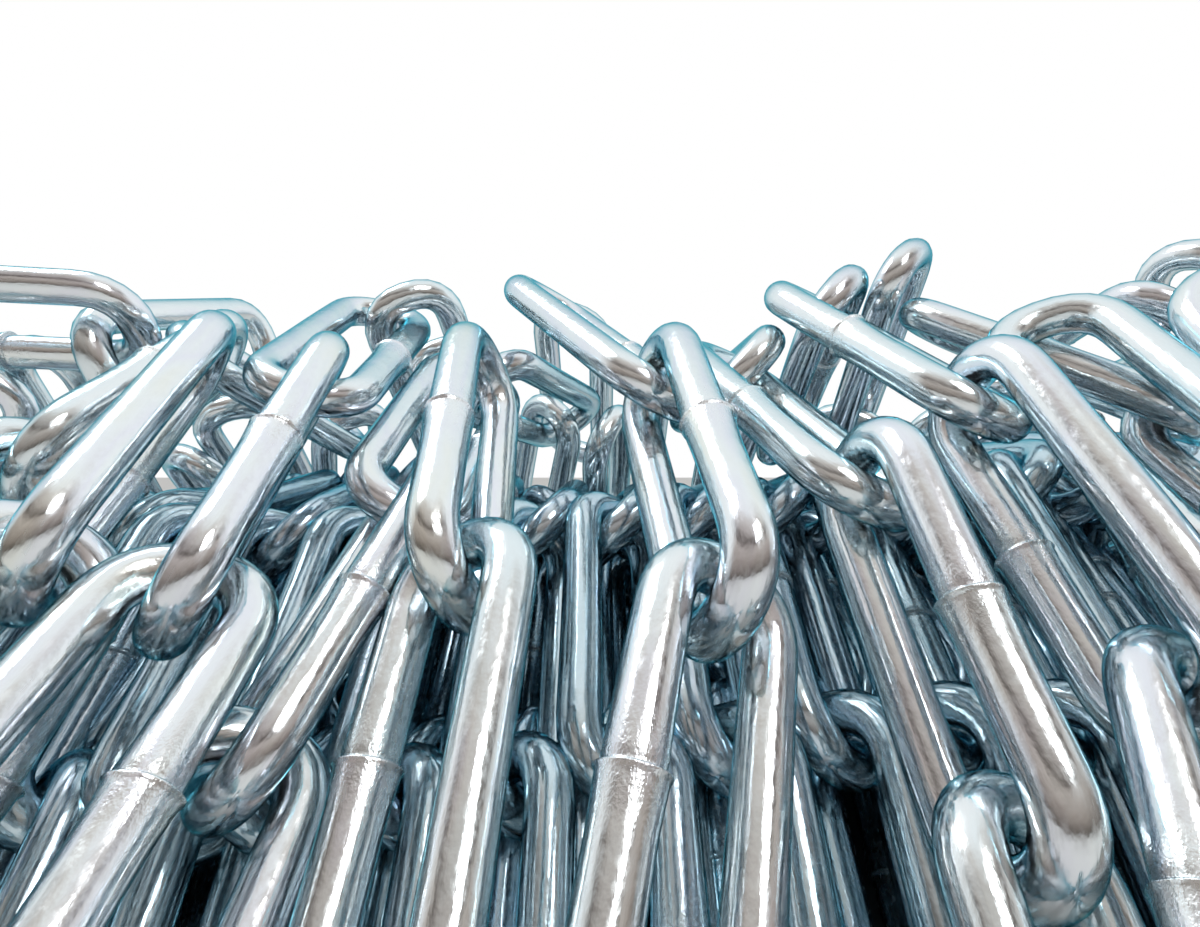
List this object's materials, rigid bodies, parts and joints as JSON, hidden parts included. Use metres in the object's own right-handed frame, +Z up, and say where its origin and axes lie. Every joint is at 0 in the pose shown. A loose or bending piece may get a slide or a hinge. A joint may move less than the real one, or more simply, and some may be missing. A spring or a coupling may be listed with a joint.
{
  "type": "heap of steel chain",
  "caption": "Heap of bright zinc-plated long-link steel chain: welded links hooked into runs that drape side by side over a rounded pile.",
  "frame": {"origin": "middle of the heap's foot, on the floor it stands on", "axes": "+Z up, +X along the heap, -Y towards the front slope that the picture shows"},
  "size_m": [0.3618, 0.2879, 0.1265],
  "materials": {
    "zinc_plated_steel": "bright blue-white zinc plating on round steel wire",
    "chain_inside": "zinc-plated chain in shade"
  },
  "bodies": {
    "root": {"heap_core": "chain_inside", "link_inner_left_1": "zinc_plated_steel", "link_inner_left_2": "zinc_plated_steel", "link_inner_left_3": "zinc_plated_steel", "link_inner_right_1": "zinc_plated_steel", "link_inner_right_2": "zinc_plated_steel", "link_inner_right_3": "zinc_plated_steel", "link_inner_right_4": "zinc_plated_steel", "link_left_1": "zinc_plated_steel", "link_left_2": "zinc_plated_steel", "link_mid_left_1": "zinc_plated_steel", "link_mid_left_2": "zinc_plated_steel", "link_mid_left_3": "zinc_plated_steel", "link_middle_1": "zinc_plated_steel", "link_middle_2": "zinc_plated_steel", "link_middle_3": "zinc_plated_steel", "link_middle_4": "zinc_plated_steel", "link_narrow_left_1": "zinc_plated_steel", "link_narrow_left_2": "zinc_plated_steel", "link_narrow_left_3": "zinc_plated_steel", "link_narrow_left_4": "zinc_plated_steel", "link_outer_left_1": "zinc_plated_steel", "link_outer_left_2": "zinc_plated_steel", "link_outer_left_3": "zinc_plated_steel", "link_outer_left_4": "zinc_plated_steel", "link_right_1": "zinc_plated_steel", "link_right_2": "zinc_plated_steel", "link_right_3": "zinc_plated_steel", "run_back_1": "zinc_plated_steel", "run_back_10": "zinc_plated_steel", "run_back_11": "zinc_plated_steel", "run_back_12": "zinc_plated_steel", "run_back_2": "zinc_plated_steel", "run_back_3": "zinc_plated_steel", "run_back_4": "zinc_plated_steel", "run_back_5": "zinc_plated_steel", "run_back_6": "zinc_plated_steel", "run_back_7": "zinc_plated_steel", "run_back_8": "zinc_plated_steel", "run_back_9": "zinc_plated_steel", "run_crest_left": "zinc_plated_steel", "run_crest_right": "zinc_plated_steel", "run_end_left_1": "zinc_plated_steel", "run_end_left_2": "zinc_plated_steel", "run_end_right_1": "zinc_plated_steel", "run_end_right_2": "zinc_plated_steel", "run_end_right_3": "zinc_plated_steel", "run_far_right": "zinc_plated_steel", "run_inner_left_over": "zinc_plated_steel", "run_inner_right_over": "zinc_plated_steel", "run_narrow_left_over": "zinc_plated_steel", "run_outer_left_over": "zinc_plated_steel", "run_ridge_left_1": "zinc_plated_steel", "run_ridge_left_2": "zinc_plated_steel", "run_ridge_right_1": "zinc_plated_steel", "run_ridge_right_2": "zinc_plated_steel", "run_ridge_right_3": "zinc_plated_steel", "run_right_over": "zinc_plated_steel"}
  },
  "joints": []
}
